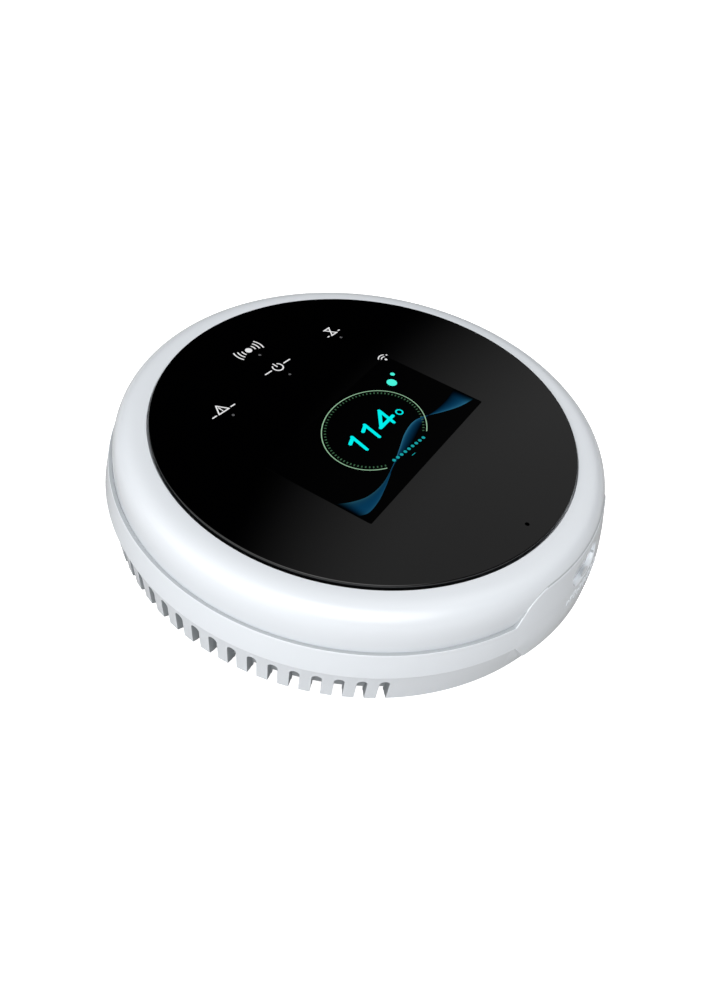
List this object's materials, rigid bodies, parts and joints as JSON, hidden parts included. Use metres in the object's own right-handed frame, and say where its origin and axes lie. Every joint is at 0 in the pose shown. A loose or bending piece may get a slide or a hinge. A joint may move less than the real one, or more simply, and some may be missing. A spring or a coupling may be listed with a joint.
{
  "type": "carbon monoxide detector",
  "caption": "Round wall carbon monoxide detector: black glass front with a lit display, white vented housing, power inlet, test button and twist-lock wall bracket.",
  "frame": {"origin": "centre of the wall bracket's back face, on the axis of the round body", "axes": "+Z out of the front panel, +X along the display from its left to its right, +Y up on the wall, away from the power inlet"},
  "size_m": [0.1, 0.1, 0.023],
  "materials": {
    "white_shell": "gloss",
    "white_inner": "matte",
    "black_panel": "high gloss",
    "window": "clear",
    "light_pipe": "satin",
    "screw_steel": "satin",
    "label": "matte",
    "switch_black": "matte",
    "plunger": "matte",
    "socket_metal": "gloss",
    "board_green": "satin",
    "board_blue": "satin",
    "cell_can": "satin",
    "tab_metal": "satin",
    "seal": "matte",
    "mesh": "satin",
    "shield": "satin",
    "chip": "matte",
    "led": "satin",
    "part_can": "satin",
    "chip_part": "matte",
    "buzzer": "matte",
    "sound_disc": "satin",
    "lcd": "gloss",
    "backlight": "satin",
    "lcd_metal": "satin",
    "tray": "matte",
    "foam": "matte",
    "ribbon": "satin",
    "socket_plastic": "matte",
    "tape": "matte"
  },
  "bodies": {
    "bracket": {"wall_bracket": "white_inner"},
    "detector": {"front_panel": "black_panel", "display_window": "window", "light_pipes": "light_pipe", "top_housing": "white_shell", "base_housing": "white_shell", "rating_label": "label", "housing_screws": "screw_steel", "test_switch": "switch_black", "reset_switch": "switch_black", "inlet_shell": "socket_metal", "inlet_tongue": "switch_black", "main_board": "board_green", "board_screws": "screw_steel", "co_cell": "cell_can", "cell_tabs": "tab_metal", "cell_seal": "seal", "inlet_mesh": "mesh", "wifi_board": "board_blue", "wifi_can": "shield", "controller_chip": "chip", "status_leds": "led", "capacitors": "part_can", "inductor": "chip", "chip_parts": "chip_part", "buzzer_case": "buzzer", "buzzer_disc": "sound_disc", "lcd_glass": "lcd", "lcd_backlight": "backlight", "lcd_frame": "lcd_metal", "display_tray": "tray", "display_gasket": "foam", "lcd_ribbon": "ribbon", "ribbon_socket": "socket_plastic", "panel_tape": "tape"},
    "test_key": {"test_button": "white_shell", "test_plunger": "plunger"},
    "reset_key": {"reset_plunger": "plunger"}
  },
  "joints": [
    {"name": "bracket_twist", "type": "hinge", "parent": "bracket", "child": "detector", "pos_m": [0, 0, 0], "axis": [0, 0, 1], "range_deg": [0, 20]},
    {"name": "test_press", "type": "slide", "parent": "detector", "child": "test_key", "axis": [-0.6293, 0.7771, 0], "range_m": [0, 0.0005], "stiffness_N_per_m": 1600, "springref_m": -0.0005},
    {"name": "reset_press", "type": "slide", "parent": "detector", "child": "reset_key", "axis": [0, 0, -1], "range_m": [0, 0.0004], "stiffness_N_per_m": 2000, "springref_m": -0.0004}
  ]
}
